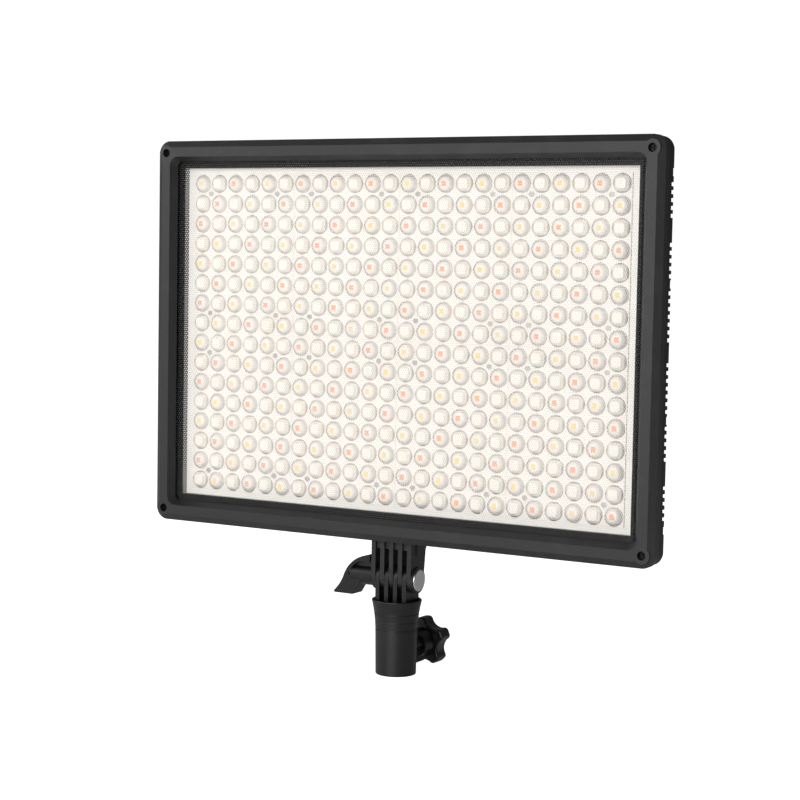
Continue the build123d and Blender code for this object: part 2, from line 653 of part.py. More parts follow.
# ---------------------------------------------------------------- tilt bracket
bracket_plates = [(place - 2) * plate_pitch for place in range(5)]
bracket_outer_x = 2 * plate_pitch + plate_thickness / 2
bracket_top = head_bottom_z - pivot_z
bracket_back_y, bracket_block = 11.5, 6.0
bolt_boss_height, bolt_head_radius, bolt_head_height = 1.1, 7.25, 2.1
with BuildPart() as tilt_bracket:
    for plate_x in bracket_plates:
        with BuildSketch(facing_right(plate_x - plate_thickness / 2)):
            Circle(knuckle_radius)
            with BuildLine():
                Polyline(
                    (-knuckle_radius, 0), (knuckle_radius, 0),
                    (bracket_back_y, bracket_top), (-knuckle_radius, bracket_top), close=True,
                )
            make_face()
        extrude(amount=plate_thickness)
    # The plates grow out of one block under the panel.
    with BuildSketch(Plane.XY.offset(head_bottom_z - bracket_block)):
        with Locations((0, (bracket_back_y - knuckle_radius) / 2 + 0.8)):
            Rectangle(2 * bracket_outer_x, bracket_back_y + knuckle_radius - 1.6)
    extrude(amount=bracket_block)
    # Raised gusset pads at the top of both outer faces.
    for gusset_x in (-bracket_outer_x - 1.0, bracket_outer_x):
        with BuildSketch(facing_right(gusset_x)):
            with BuildLine():
                Polyline((-1.5, 16.1), (11.0, 24.0), (11.0, bracket_top), (-1.5, bracket_top), close=True)
            make_face()
        extrude(amount=1.0)
    # The bolt's head lies in a round boss on the right.
    with BuildSketch(facing_right(bracket_outer_x)):
        Circle(knuckle_radius)
    extrude(amount=bolt_boss_height)
    with BuildSketch(facing_right(bracket_outer_x)):
        Circle(bolt_head_radius + 0.1)
    extrude(amount=bolt_boss_height, mode=Mode.SUBTRACT)
    with BuildSketch(facing_right(-bracket_outer_x)):
        Circle(bolt_radius + bolt_clearance)
    extrude(amount=2 * bracket_outer_x, mode=Mode.SUBTRACT)
tilt_bracket.part.label = "tilt_bracket"
export_step(tilt_bracket.part, "parts/tilt_bracket.step")

bolt_end_x = -34.0
with BuildPart() as pivot_bolt:
    with BuildSketch(facing_right(bolt_end_x)):
        Circle(bolt_radius)
    extrude(amount=bracket_outer_x - bolt_end_x)
    with BuildSketch(facing_right(bracket_outer_x)):
        Circle(bolt_head_radius)
    extrude(amount=bolt_head_height)
    fillet(pivot_bolt.faces().sort_by(Axis.X)[-1].edges(), 0.8)
pivot_bolt.part.label = "pivot_bolt"
export_step(pivot_bolt.part, "parts/pivot_bolt.step")

washer_radius, washer_thickness = 6.5, 1.2
with BuildPart() as pivot_washer:
    with BuildSketch(facing_right(-bracket_outer_x - washer_thickness)):
        Circle(washer_radius)
        Circle(bolt_radius + 0.2, mode=Mode.SUBTRACT)
    extrude(amount=washer_thickness)
pivot_washer.part.label = "pivot_washer"
export_step(pivot_washer.part, "parts/pivot_washer.step")

# ---------------------------------------------------------------- tilt lever
lever_half, lever_pocket, hub_radius, nut_radius = 6.0, 3.2, 6.6, 4.6
hub_x, hub_length, nut_length = -bracket_outer_x - washer_thickness - 0.3, 16.0, 12.0
lever_front = Plane(origin=(0, -lever_half, pivot_z), x_dir=(1, 0, 0), z_dir=(0, -1, 0))
lever_back = Plane(origin=(0, lever_half, pivot_z), x_dir=(1, 0, 0), z_dir=(0, -1, 0))
with BuildPart() as tilt_lever:
    with BuildSketch(lever_back):
        with BuildLine():
            crown = ThreePointArc((hub_x - 1.2, 14.0), (-31.0, 8.8), (-38.0, -1.6))
            flank = ThreePointArc(crown @ 1, (-41.2, -7.3), (-45.4, -11.9))
            Polyline(flank @ 1, (-44.6, -13.0), (-30.6, -13.0), (-23.4, -1.0), (hub_x - 1.2, -1.0), crown @ 0)
        make_face()
    extrude(amount=2 * lever_half)
    fillet(tilt_lever.edges().filter_by(Axis.Y).group_by(Axis.X)[0], 0.5)
    # A pocket in each side leaves a raised rim over the hub.
    for pocket_plane, inward in ((lever_front, -1), (lever_back, 1)):
        with BuildSketch(pocket_plane):
            with BuildLine():
                rim = ThreePointArc((hub_x - 1.2, 9.6), (-28.6, 7.6), (-34.2, 0.0))
                Polyline(rim @ 1, (hub_x - 1.2, -1.0), rim @ 0)
            make_face()
        extrude(amount=inward * lever_pocket, mode=Mode.SUBTRACT)
    with BuildSketch(facing_right(hub_x - hub_length)):
        Circle(hub_radius)
    extrude(amount=hub_length)
    with BuildSketch(facing_right(hub_x - nut_length)):
        Circle(nut_radius)
    extrude(amount=nut_length, mode=Mode.SUBTRACT)
    with BuildSketch(facing_right(bolt_end_x - 1.0)):
        Circle(bolt_radius + 0.2)
    extrude(amount=hub_x - bolt_end_x + 1.0, mode=Mode.SUBTRACT)
tilt_lever.part.label = "tilt_lever"
export_step(tilt_lever.part, "parts/tilt_lever.step")

with BuildPart() as lever_nut:
    with BuildSketch(facing_right(hub_x - nut_length)):
        Circle(nut_radius)
        Circle(bolt_radius + bolt_clearance, mode=Mode.SUBTRACT)
    extrude(amount=nut_length)
lever_nut.part.label = "lever_nut"
export_step(lever_nut.part, "parts/lever_nut.step")

# ---------------------------------------------------------------- stand receiver
cup_radius, cup_floor_z, lip_radius = 15.0, 44.5, 0.6
groove_heights, groove_width, groove_depth = (30.2, 35.4, 40.6), 0.9, 0.45
fin_places = [(place - 1.5) * plate_pitch for place in range(4)]
insert_radius, insert_start_y, insert_end_y = 6.0, 8.6, 12.6
with BuildPart() as stand_receiver:
    with BuildSketch(Plane.XZ):
        with BuildLine():
            flare = ThreePointArc((barrel_top_radius, 30.0), (14.62, 39.0), (collar_radius, collar_z))
            Polyline(
                flare @ 1, (cup_radius, collar_z), (cup_radius - 0.3, cup_floor_z), (0, cup_floor_z),
                (0, 0), (barrel_radius, 0), flare @ 0,
            )
        make_face()
    revolve(axis=Axis.Z)
    fillet(stand_receiver.edges().filter_by(GeomType.CIRCLE).group_by(Axis.Z)[0], 0.8)
    fillet(stand_receiver.edges().filter_by(GeomType.CIRCLE).group_by(Axis.Z)[-1], lip_radius)
    for groove_z in groove_heights:
        groove_radius = barrel_top_radius + max(0.0, (groove_z - 30.0) * 0.085)
        with BuildSketch(Plane.XY.offset(groove_z - groove_width / 2)):
            Circle(groove_radius + 2.0)
            Circle(groove_radius - groove_depth, mode=Mode.SUBTRACT)
        extrude(amount=groove_width, mode=Mode.SUBTRACT)
    for fin_x in fin_places:
        with BuildSketch(facing_right(fin_x - fin_thickness / 2)):
            Circle(knuckle_radius)
            with Locations((0, (cup_floor_z - 1.0 - pivot_z) / 2)):
                Rectangle(2 * knuckle_radius, pivot_z - cup_floor_z + 1.0)
        extrude(amount=fin_thickness)
    with BuildSketch(facing_right(-bracket_outer_x)):
        Circle(bolt_radius + bolt_clearance)
    extrude(amount=2 * bracket_outer_x, mode=Mode.SUBTRACT)
    with BuildSketch(Plane.XY):
        Circle(socket_radius)
    extrude(amount=socket_depth, mode=Mode.SUBTRACT)
    with BuildSketch(facing_back(insert_start_y, z=stud_z)):
        Circle(insert_radius)
    extrude(amount=10.0, mode=Mode.SUBTRACT)
    with BuildSketch(facing_back(0.0, z=stud_z)):
        Circle(stud_radius + 0.3)
    extrude(amount=20.0, mode=Mode.SUBTRACT)
stand_receiver.part.label = "stand_receiver"
export_step(stand_receiver.part, "parts/stand_receiver.step")

with BuildPart() as clamp_insert:
    with BuildSketch(facing_back(insert_start_y, z=stud_z)):
        Circle(insert_radius)
        Circle(stud_radius + bolt_clearance, mode=Mode.SUBTRACT)
    extrude(amount=insert_end_y - insert_start_y)
clamp_insert.part.label = "clamp_insert"
export_step(clamp_insert.part, "parts/clamp_insert.step")

# ---------------------------------------------------------------- clamp stud and knob
stud_tip_y, knob_hub_y, knob_y, knob_back_y = 8.5, 25.0, 34.0, 45.5
knob_radius, knob_lobes, knob_turn = 16.4, 5, 24.1
scallop_radius, scallop_centre = 8.0, 19.9
hub_front_radius, hub_back_radius = 8.3, 10.0
stud_hole_end_y = 42.0
with BuildPart() as clamp_stud:
    with BuildSketch(facing_back(stud_tip_y, z=stud_z)):
        Circle(stud_radius)
    extrude(amount=stud_hole_end_y - 0.5 - stud_tip_y)
    chamfer(clamp_stud.faces().sort_by(Axis.Y)[0].edges(), 0.8)
clamp_stud.part.label = "clamp_stud"
export_step(clamp_stud.part, "parts/clamp_stud.step")

knob_plane = Plane(
    origin=(0, knob_y, stud_z),
    x_dir=(cos(radians(knob_turn)), 0, sin(radians(knob_turn))),
    z_dir=(0, 1, 0),
)
with BuildPart() as clamp_knob:
    with BuildSketch(knob_plane):
        Circle(knob_radius)
        with PolarLocations(scallop_centre, knob_lobes, start_angle=180 / knob_lobes):
            Circle(scallop_radius, mode=Mode.SUBTRACT)
        fillet(vertices(), 2.6)
    extrude(amount=knob_back_y - knob_y)
    lobe_rims = clamp_knob.faces().sort_by(Axis.Y)[0].edges() + clamp_knob.faces().sort_by(Axis.Y)[-1].edges()
    fillet(lobe_rims, 1.1)
    with BuildSketch(facing_back(knob_hub_y, z=stud_z)):
        Circle(hub_front_radius)
    with BuildSketch(facing_back(knob_y + 0.5, z=stud_z)):
        Circle(hub_back_radius)
    loft()
    with BuildSketch(facing_back(knob_hub_y, z=stud_z)):
        Circle(stud_radius + bolt_clearance)
    extrude(amount=stud_hole_end_y - knob_hub_y, mode=Mode.SUBTRACT)
    with BuildSketch(facing_back(knob_hub_y, z=stud_z)):
        Circle(hub_front_radius - 1.6)
        Circle(stud_radius + 1.6, mode=Mode.SUBTRACT)
    extrude(amount=1.5, mode=Mode.SUBTRACT)
clamp_knob.part.label = "clamp_knob"
export_step(clamp_knob.part, "parts/clamp_knob.step")
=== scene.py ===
# %% [markdown]
# # An LED panel light, dressed for its portrait
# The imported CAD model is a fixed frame: it already holds every housing, screw and hinge
# in its place. This lesson loads it, gives each part a real finish, and replaces the
# few parts whose beauty lies in small curved detail, such as the lens plates.

# %% load the frame
import math

import bmesh
import bpy
from mathutils import Matrix, Vector


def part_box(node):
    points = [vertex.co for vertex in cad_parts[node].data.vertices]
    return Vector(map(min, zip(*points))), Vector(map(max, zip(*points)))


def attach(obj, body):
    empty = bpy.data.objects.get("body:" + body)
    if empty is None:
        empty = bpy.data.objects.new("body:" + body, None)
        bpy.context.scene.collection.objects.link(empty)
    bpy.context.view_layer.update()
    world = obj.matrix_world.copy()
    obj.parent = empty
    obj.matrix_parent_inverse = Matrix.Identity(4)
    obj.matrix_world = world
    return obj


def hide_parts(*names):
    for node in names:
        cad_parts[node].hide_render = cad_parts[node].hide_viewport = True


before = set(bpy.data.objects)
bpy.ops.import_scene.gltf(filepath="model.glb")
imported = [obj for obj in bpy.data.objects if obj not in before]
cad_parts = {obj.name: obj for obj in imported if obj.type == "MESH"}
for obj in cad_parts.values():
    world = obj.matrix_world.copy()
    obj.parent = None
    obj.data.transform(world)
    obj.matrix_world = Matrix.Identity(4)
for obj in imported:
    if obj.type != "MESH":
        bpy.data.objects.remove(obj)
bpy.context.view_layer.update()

MM = 0.001

# %% [markdown]
# ## Small helpers for materials
# Paint charts and product sheets give colours as sRGB hex values, but a renderer adds
# light in linear values, so one function converts them. A second adds one shader node
# with its settings and links. Two more start an empty material and draw a grain from
# real millimetres. Every finish below is built with these four.


# %% colour and node helpers
def linear(hex_colour):
    """A #rrggbb colour as linear red, green, blue and alpha."""
    parts = [int(hex_colour[i:i + 2], 16) / 255 for i in (1, 3, 5)]
    return [c / 12.92 if c <= 0.04045 else ((c + 0.055) / 1.055) ** 2.4 for c in parts] + [1.0]


def add(tree, kind, settings=None, links=None):
    """Adds one node: settings are attributes or socket values, links go from a socket into it."""
    node = tree.nodes.new(kind)
    for key, value in (settings or {}).items():
        if isinstance(key, str) and hasattr(node, key) and key not in node.inputs:
            setattr(node, key, value)
        else:
            node.inputs[key].default_value = value
    for key, source in (links or {}).items():
        tree.links.new(source, node.inputs[key])
    return node


def new_material(name):
    """An empty node material and its output node."""
    material = bpy.data.materials.new(name)
    material.use_nodes = True
    material.node_tree.nodes.clear()
    output = add(material.node_tree, "ShaderNodeOutputMaterial")
    return material, material.node_tree, output


def grain(tree, size_mm, detail=3.0):
    """Noise on Object coordinates whose lumps are size_mm across."""
    place = add(tree, "ShaderNodeTexCoord")
    noise = add(tree, "ShaderNodeTexNoise", {"Scale": 1 / (size_mm * MM), "Detail": detail},
                {"Vector": place.outputs["Object"]})
    return noise.outputs["Fac"]


# %% [markdown]
# ## Moulded and metal finishes
# Most of this light is injection-moulded ABS. The mould is spark-eroded, so the plastic
# comes out with a fine matt grain: a tiny bump and a roughness that wanders a little.
# The metals are a turned and zinc-plated steel, black-oxide screws, brass inserts and
# rolled aluminium. Each keeps the default IOR and differs in colour, roughness and the
# direction of its marks.


# %% finishes
SCUFF_SIZE = 22.0
MOULD_GRAIN_DEPTH = 0.12 * MM
METAL_MARK_DEPTH = 0.05 * MM
METAL_ROUGHNESS_SPREAD = 0.25


def moulded(name, colour, roughness, grain_mm=0.35, bump=0.12, worn="#3c3c3e"):
    """Spark-eroded moulded plastic with a faint scuffed mottling."""
    material, tree, output = new_material(name)
    fine = grain(tree, grain_mm)
    broad = grain(tree, SCUFF_SIZE, 5.0)
    scuff = add(tree, "ShaderNodeMapRange", {"From Min": 0.52, "From Max": 0.8, "To Max": 0.35},
                {"Value": broad})
    tint = add(tree, "ShaderNodeMix", {"data_type": "RGBA", 6: linear(colour), 7: linear(worn)},
               {0: scuff.outputs["Result"]})
    rough = add(tree, "ShaderNodeMapRange", {"To Min": roughness - 0.06, "To Max": roughness + 0.08},
                {"Value": fine})
    relief = add(tree, "ShaderNodeBump", {"Strength": bump, "Distance": MOULD_GRAIN_DEPTH}, {"Height": fine})
    shader = add(tree, "ShaderNodeBsdfPrincipled", None,
                 {"Base Color": tint.outputs[2], "Roughness": rough.outputs["Result"],
                  "Normal": relief.outputs["Normal"]})
    tree.links.new(shader.outputs["BSDF"], output.inputs["Surface"])
    return material


def metal(name, colour, roughness, streak_mm):
    """A metal whose fine marks are stretched along the long axis of streak_mm."""
    material, tree, output = new_material(name)
    place = add(tree, "ShaderNodeTexCoord")
    stretch = add(tree, "ShaderNodeMapping", {"Scale": [1 / (s * MM) for s in streak_mm]},
                  {"Vector": place.outputs["Object"]})
    marks = add(tree, "ShaderNodeTexNoise", {"Scale": 1.0, "Detail": 4.0},
                {"Vector": stretch.outputs["Vector"]})
    spread = METAL_ROUGHNESS_SPREAD / 2
    rough = add(tree, "ShaderNodeMapRange",
                {"To Min": max(0.05, roughness - spread), "To Max": roughness + spread},
                {"Value": marks.outputs["Fac"]})
    relief = add(tree, "ShaderNodeBump", {"Strength": 0.1, "Distance": METAL_MARK_DEPTH},
                 {"Height": marks.outputs["Fac"]})
    shader = add(tree, "ShaderNodeBsdfPrincipled", {"Base Color": linear(colour), "Metallic": 1.0},
                 {"Roughness": rough.outputs["Result"], "Normal": relief.outputs["Normal"]})
    tree.links.new(shader.outputs["BSDF"], output.inputs["Surface"])
    return material


bezel_abs = moulded("bezel_moulded_abs", "#202021", 0.44, 0.4, 0.16)
cover_abs = moulded("rear_cover_moulded_abs", "#0f0f10", 0.5, 0.5, 0.2, "#202021")
mask_abs = moulded("inner_frame_matt_abs", "#0b0b0c", 0.6, 0.3, 0.1, "#151516")
receiver_nylon = moulded("receiver_moulded_nylon", "#0b0b0c", 0.4, 0.3, 0.12, "#161617")
bracket_nylon = moulded("bracket_moulded_nylon", "#18181a", 0.42, 0.35, 0.12, "#2c2c2e")
lever_nylon = moulded("lever_moulded_nylon", "#0b0b0c", 0.34, 0.3, 0.08, "#141415")
knob_nylon = moulded("knob_moulded_nylon", "#060607", 0.3, 0.3, 0.08, "#0e0e0f")
key_rubber = moulded("key_moulded_silicone", "#2b2c2e", 0.6, 0.2, 0.1, "#353638")
rocker_pc = moulded("rocker_polished_polycarbonate", "#0a0a0b", 0.18, 0.6, 0.03, "#121213")
component_epoxy = moulded("component_moulded_epoxy", "#1a1a1a", 0.55)
board_fr4 = moulded("board_green_solder_mask", "#1f5a35", 0.3, 0.8, 0.05, "#2a6a42")
zinc_steel = metal("bolt_zinc_plated_steel", "#d9d9da", 0.3, (0.5, 0.5, 0.5))
screw_steel = metal("screw_nickel_plated_steel", "#c9c7c4", 0.35, (0.4, 0.4, 0.4))
black_oxide = metal("screw_black_oxide_steel", "#2a2a2c", 0.45, (0.4, 0.4, 0.4))
turned_brass = metal("insert_turned_brass", "#c9a558", 0.3, (0.2, 3.0, 3.0))
rolled_aluminium = metal("chassis_rolled_aluminium", "#c8cacc", 0.35, (8.0, 0.3, 0.3))
print(len(bpy.data.materials), "moulded and metal finishes")

# %% [markdown]
# ## The clear front plate and its printed dots
# A light guide plate is cast acrylic with white dots printed on its back. Light sent in
# at the edges travels inside until a dot scatters it out. The dots are 1.55 mm apart in
# staggered rows. The drawing below takes each point's distance to the nearest dot in two
# crossed grids. Between the dots the plate is clear, with only a reflection on it, so the
# shader mixes a transparent part with a glossy one by Fresnel instead of tracing thick glass.

# %% the light guide plate
DOT_PITCH = 1.55 * MM
DOT_RADIUS = 0.4 * MM
DOT_COVER = 0.85
PRINT_DEPTH = 0.2 * MM


def staggered_dots(tree, pitch, radius):
    """1 inside dots on a triangular grid in the XZ plane, 0 between them."""
    place = add(tree, "ShaderNodeTexCoord")
    axes = add(tree, "ShaderNodeSeparateXYZ", None, {"Vector": place.outputs["Object"]})
    row_pitch = pitch * math.sqrt(3)
    nearest = []
    for shift in (0.0, 0.5):
        legs = []
        for axis, step in (("X", pitch), ("Z", row_pitch)):
            cell = add(tree, "ShaderNodeMath", {"operation": "DIVIDE", 1: step}, {0: axes.outputs[axis]})
            moved = add(tree, "ShaderNodeMath", {"operation": "ADD", 1: 50.0 + shift}, {0: cell.outputs[0]})
            part = add(tree, "ShaderNodeMath", {"operation": "FRACT"}, {0: moved.outputs[0]})
            centred = add(tree, "ShaderNodeMath", {"operation": "SUBTRACT", 1: 0.5}, {0: part.outputs[0]})
            leg = add(tree, "ShaderNodeMath", {"operation": "MULTIPLY", 1: step}, {0: centred.outputs[0]})
            legs.append(leg)
        both = add(tree, "ShaderNodeCombineXYZ", None, {"X": legs[0].outputs[0], "Y": legs[1].outputs[0]})
        length = add(tree, "ShaderNodeVectorMath", {"operation": "LENGTH"}, {0: both.outputs[0]})
        nearest.append(length.outputs["Value"])
    closer = add(tree, "ShaderNodeMath", {"operation": "MINIMUM"}, {0: nearest[0], 1: nearest[1]})
    inside = add(tree, "ShaderNodeMapRange", {"From Min": radius * 1.25, "From Max": radius * 0.75},
                 {"Value": closer.outputs[0]})
    return inside.outputs["Result"]


def front_plate_acrylic():
    """Clear acrylic with white dots on its back. The dots stop no light on its way to the board."""
    material, tree, output = new_material("front_plate_cast_acrylic")
    clear = add(tree, "ShaderNodeBsdfTransparent", {"Color": linear("#fdfdfc")})
    gloss = add(tree, "ShaderNodeBsdfPrincipled",
                {"Base Color": linear("#ffffff"), "Roughness": 0.06, "Metallic": 1.0})
    fresnel = add(tree, "ShaderNodeFresnel", {"IOR": 1.12})
    plate = add(tree, "ShaderNodeMixShader", None,
                {0: fresnel.outputs[0], 1: clear.outputs[0], 2: gloss.outputs[0]})
    ink = add(tree, "ShaderNodeBsdfPrincipled", {"Base Color": linear("#f2f2f0"), "Roughness": 0.6})
    dots = staggered_dots(tree, DOT_PITCH, DOT_RADIUS)
    place = add(tree, "ShaderNodeTexCoord")
    axes = add(tree, "ShaderNodeSeparateXYZ", None, {"Vector": place.outputs["Object"]})
    back_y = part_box("light_guide_plate")[1].y - PRINT_DEPTH
    on_back = add(tree, "ShaderNodeMath", {"operation": "GREATER_THAN", 1: back_y}, {0: axes.outputs["Y"]})
    printed = add(tree, "ShaderNodeMath", {"operation": "MULTIPLY"}, {0: dots, 1: on_back.outputs[0]})
    rays = add(tree, "ShaderNodeLightPath")
    passing = add(tree, "ShaderNodeMapRange", {"To Min": DOT_COVER, "To Max": 0.0},
                  {"Value": rays.outputs["Is Shadow Ray"]})
    weight = add(tree, "ShaderNodeMath", {"operation": "MULTIPLY"},
                 {0: printed.outputs[0], 1: passing.outputs["Result"]})
    mixed = add(tree, "ShaderNodeMixShader", None,
                {0: weight.outputs[0], 1: plate.outputs[0], 2: ink.outputs[0]})
    tree.links.new(mixed.outputs[0], output.inputs["Surface"])
    return material


front_acrylic = front_plate_acrylic()
print("dots every", round(DOT_PITCH / MM, 2), "mm")

# %% [markdown]
# ## The white board and its LEDs
# The LEDs sit on an aluminium-core board under a white solder mask, which is a slightly
# glossy epoxy ink. Seen from above, an LED is a square of silicone filled with phosphor:
# yellow for the cool white, orange for the warm white. A phosphor square is speckled,
# because small dies show through it, so it gets a cell pattern 0.9 mm across, and a weak
# painted glow lightens it.


# %% the board and phosphor finishes
DIE_SIZE = 0.9 * MM


def phosphor(name, edge_colour, heart_colour):
    """Phosphor-filled silicone with the dies below showing as brighter cells, lightened by a weak painted
    glow.
    """
    material, tree, output = new_material(name)
    place = add(tree, "ShaderNodeTexCoord")
    cells = add(tree, "ShaderNodeTexVoronoi", {"Scale": 1 / DIE_SIZE}, {"Vector": place.outputs["Object"]})
    heart = add(tree, "ShaderNodeMapRange", {"From Min": 0.15, "From Max": 0.6},
                {"Value": cells.outputs["Distance"]})
    tint = add(tree, "ShaderNodeMix", {"data_type": "RGBA", 6: linear(heart_colour), 7: linear(edge_colour)},
               {0: heart.outputs["Result"]})
    # Painted glow: a weak emission in the phosphor colour lightens the LEDs.
    shader = add(tree, "ShaderNodeBsdfPrincipled", {"Roughness": 0.35, "Emission Strength": 0.25},
                 {"Base Color": tint.outputs[2], "Emission Color": tint.outputs[2]})
    tree.links.new(shader.outputs["BSDF"], output.inputs["Surface"])
    return material


white_mask = moulded("board_white_solder_mask", "#f6f2ee", 0.35, 1.2, 0.04, "#efebe6")
cool_phosphor = phosphor("cool_led_yellow_phosphor", "#f3d9a0", "#ffe07a")
warm_phosphor = phosphor("warm_led_orange_phosphor", "#f2c3a2", "#ff9a4e")
cream_phosphor = phosphor("diffused_led_cream_phosphor", "#f6ecd8", "#fff6df")


# %% [markdown]
# ## The lens plates
# Each of the eight plates is moulded in acrylic with 48 lenses: every second one is a
# clear round dome that shows its LED, and the others are frosted, nearly square domes
# that hide it. A dome has few faces, because it is repeated 384 times, and smooth shading
# does the rest. A strong lens lifts the picture of its LED up to its own surface, so the
# clear domes carry that picture as a soft square of phosphor colour on the pale board,
# drawn around each lens centre. Where the acrylic curves away, its colour gets a little painted grey shade.

# %% lens finishes
LENS_PITCH = 13.5 * MM
LED_HALF = 1.7 * MM
LED_EDGE_BLUR = 0.2
PANEL_LOW, PANEL_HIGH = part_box("led_board")
PANEL_MIDDLE = (PANEL_LOW + PANEL_HIGH) / 2
# A whole number of lenses, which keeps every coordinate in the drawing above zero.
LENSES_BELOW_ZERO = 100


def led_picture(tree):
    """1 inside a soft square at each lens centre, 0 around it."""
    place = add(tree, "ShaderNodeTexCoord")
    axes = add(tree, "ShaderNodeSeparateXYZ", None, {"Vector": place.outputs["Object"]})
    legs = []
    for axis, centre in (("X", PANEL_MIDDLE.x), ("Z", PANEL_MIDDLE.z)):
        start = centre - LENSES_BELOW_ZERO * LENS_PITCH
        moved = add(tree, "ShaderNodeMath", {"operation": "SUBTRACT", 1: start}, {0: axes.outputs[axis]})
        cell = add(tree, "ShaderNodeMath", {"operation": "DIVIDE", 1: LENS_PITCH}, {0: moved.outputs[0]})
        part = add(tree, "ShaderNodeMath", {"operation": "FRACT"}, {0: cell.outputs[0]})
        centred = add(tree, "ShaderNodeMath", {"operation": "SUBTRACT", 1: 0.5}, {0: part.outputs[0]})
        legs.append(add(tree, "ShaderNodeMath", {"operation": "ABSOLUTE"}, {0: centred.outputs[0]}))
    reach = add(tree, "ShaderNodeMath", {"operation": "MAXIMUM"},
                {0: legs[0].outputs[0], 1: legs[1].outputs[0]})
    edge = LED_HALF / LENS_PITCH
    inside = add(tree, "ShaderNodeMapRange",
                 {"From Min": (1 + LED_EDGE_BLUR) * edge, "From Max": (1 - LED_EDGE_BLUR) * edge,
                  "To Max": 0.9},
                 {"Value": reach.outputs[0]})
    return inside.outputs["Result"]


def lens_finish(name, colour, rim_painted_shade_colour, roughness, blend, led_colour=None):
    """Acrylic over a pale board, with painted shade that greys its rim, and its LED's picture if it has one.
    """
    material, tree, output = new_material(name)
    # Painted shade: the colour turns greyer towards the rim as the surface turns away from view.
    facing = add(tree, "ShaderNodeLayerWeight", {"Blend": blend})
    tint = add(tree, "ShaderNodeMix", {"data_type": "RGBA", 6: linear(colour), 7: linear(rim_painted_shade_colour)},
               {0: facing.outputs["Facing"]})
    if led_colour:
        tint = add(tree, "ShaderNodeMix", {"data_type": "RGBA", 7: linear(led_colour)},
                   {0: led_picture(tree), 6: tint.outputs[2]})
    relief = add(tree, "ShaderNodeBump", {"Strength": 0.05, "Distance": 0.1 * MM},
                 {"Height": grain(tree, 0.5)})
    shader = add(tree, "ShaderNodeBsdfPrincipled",
                 {"Roughness": roughness, "Coat Weight": 0.4, "Coat Roughness": 0.05},
                 {"Base Color": tint.outputs[2], "Normal": relief.outputs["Normal"]})
    tree.links.new(shader.outputs["BSDF"], output.inputs["Surface"])
    return material


plate_skin = lens_finish("lens_plate_moulded_acrylic", "#f5efeb", "#ece5e1", 0.3, 0.3)
cool_lens = lens_finish("cool_lens_clear_moulded_acrylic", "#f8f3ef", "#d9d2cf", 0.15, 0.35, "#f5d68e")
warm_lens = lens_finish("warm_lens_clear_moulded_acrylic", "#f8f3ef", "#d9d2cf", 0.15, 0.35, "#fba57a")
frosted_lens = lens_finish("lens_frosted_moulded_acrylic", "#f5efe8", "#d8d1cd", 0.45, 0.35)

# %% [markdown]
# ## One mesh for each kind of lens
# A lens is drawn lying on the XY plane, as rings given by radius and height. Its root is
# a little below the plate's face, so that the flat base of the lens is hidden. The
# squareness bends a ring: at 2 it is a circle, and higher values make it a rounded square.

# %% lens plate meshes
LENS_SEGMENTS = 20
RING_RADIUS = 6.25
LENS_ROOT = -0.3
PLATE_SKIN = 1.2 * MM
PLATE_EDGE = 0.15 * MM
ROUND, SQUARE = 2.0, 3.6
DOME_PROFILE = [(6.1, 0.5), (5.75, 0.55), (5.5, 1.0), (4.7, 1.9), (3.4, 2.6), (1.8, 2.95)]
FROSTED_RINGS = [(6.1, 0.5), (4.95, 0.55), (4.75, 1.2), (4.45, 2.1), (3.9, 2.7), (2.6, 3.0)]
PLATE_NODES = [name for name in sorted(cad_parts) if name.startswith("lens_plate_")]
LENS_FACE_Y = PANEL_LOW.y - PLATE_SKIN


def squarish(ring, radius, squareness):
    """Moves a ring's points from a circle of that radius towards a rounded square."""
    for vertex in ring:
        angle = math.atan2(vertex.co.y, vertex.co.x)
        reach = (abs(math.cos(angle)) ** squareness + abs(math.sin(angle)) ** squareness) ** (-1 / squareness)
        vertex.co.x = radius * reach * math.cos(angle)
        vertex.co.y = radius * reach * math.sin(angle)


def lens_mould(rings, squareness, material_index):
    """One lens as a mesh on the XY plane: a disc that is extruded up ring by ring, then closed."""
    lens = bmesh.new()
    bmesh.ops.create_circle(lens, cap_ends=True, segments=LENS_SEGMENTS, radius=RING_RADIUS * MM)
    top = lens.faces[:][0]
    for vertex in lens.verts:
        vertex.co.z = LENS_ROOT * MM
    for radius, height in rings:
        raised = bmesh.ops.extrude_face_region(lens, geom=[top])
        top = next(part for part in raised["geom"] if isinstance(part, bmesh.types.BMFace))
        squarish(top.verts, radius * MM, squareness if height > rings[0][1] else ROUND)
        for vertex in top.verts:
            vertex.co.z = height * MM
    bmesh.ops.poke(lens, faces=[top])
    bmesh.ops.recalc_face_normals(lens, faces=lens.faces[:])
    for face in lens.faces:
        face.material_index = material_index
        face.smooth = True
    mesh = bpy.data.meshes.new("lens_mould")
    lens.to_mesh(mesh)
    lens.free()
    return mesh


cool_mould = lens_mould(DOME_PROFILE, ROUND, 1)
warm_mould = lens_mould(DOME_PROFILE, ROUND, 2)
frosted_mould = lens_mould(FROSTED_RINGS, SQUARE, 3)
print("a lens has", len(cool_mould.polygons), "faces")


# %% [markdown]
# ## Which lens goes where
# The lenses are counted over the whole panel, 24 across and 16 down. Clear lenses
# alternate with frosted ones, and the clear ones are shared out between cool white and
# warm white LEDs in a pattern that repeats every four places.

# %% build the eight plates
def mould_for(spot):
    """The mould of the lens at this spot of the panel."""
    column = round((spot.x - PANEL_MIDDLE.x) / LENS_PITCH + 11.5)
    row = round(7.5 - (spot.z - PANEL_MIDDLE.z) / LENS_PITCH)
    if (row + column) % 2:
        return frosted_mould
    return warm_mould if (column // 2 + row // 2 + row % 2) % 2 else cool_mould


